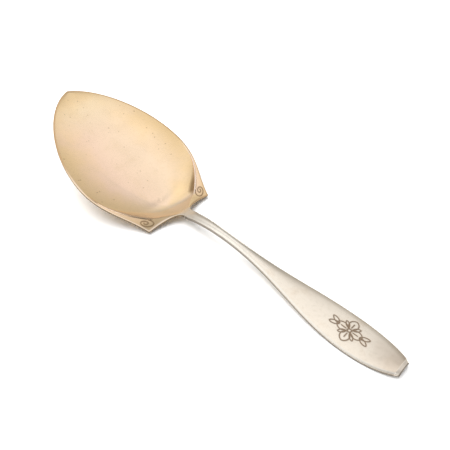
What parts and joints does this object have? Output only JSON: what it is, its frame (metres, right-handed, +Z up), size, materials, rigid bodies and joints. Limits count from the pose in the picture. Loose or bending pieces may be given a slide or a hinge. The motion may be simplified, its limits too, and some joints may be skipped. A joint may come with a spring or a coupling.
{
  "type": "cake server",
  "caption": "Silver cake server with a gilt, dished leaf-shaped blade, scrolled back corners and a struck handle that widens into a flat grip.",
  "frame": {"origin": "on the table, below the middle of the server's length, in its plane of symmetry", "axes": "+X from the blade's tip to the end of the handle, +Y across the server, +Z up from the table it lies on"},
  "size_m": [0.2426, 0.0736, 0.0395],
  "materials": {
    "gilt": "polished silver with a pale, slightly worn gold wash",
    "silver": "polished silver with fine wear and warm tarnish",
    "solder": "dull hard silver solder"
  },
  "bodies": {
    "root": {"blade": "gilt", "handle": "silver", "solder_seam": "solder"}
  },
  "joints": []
}
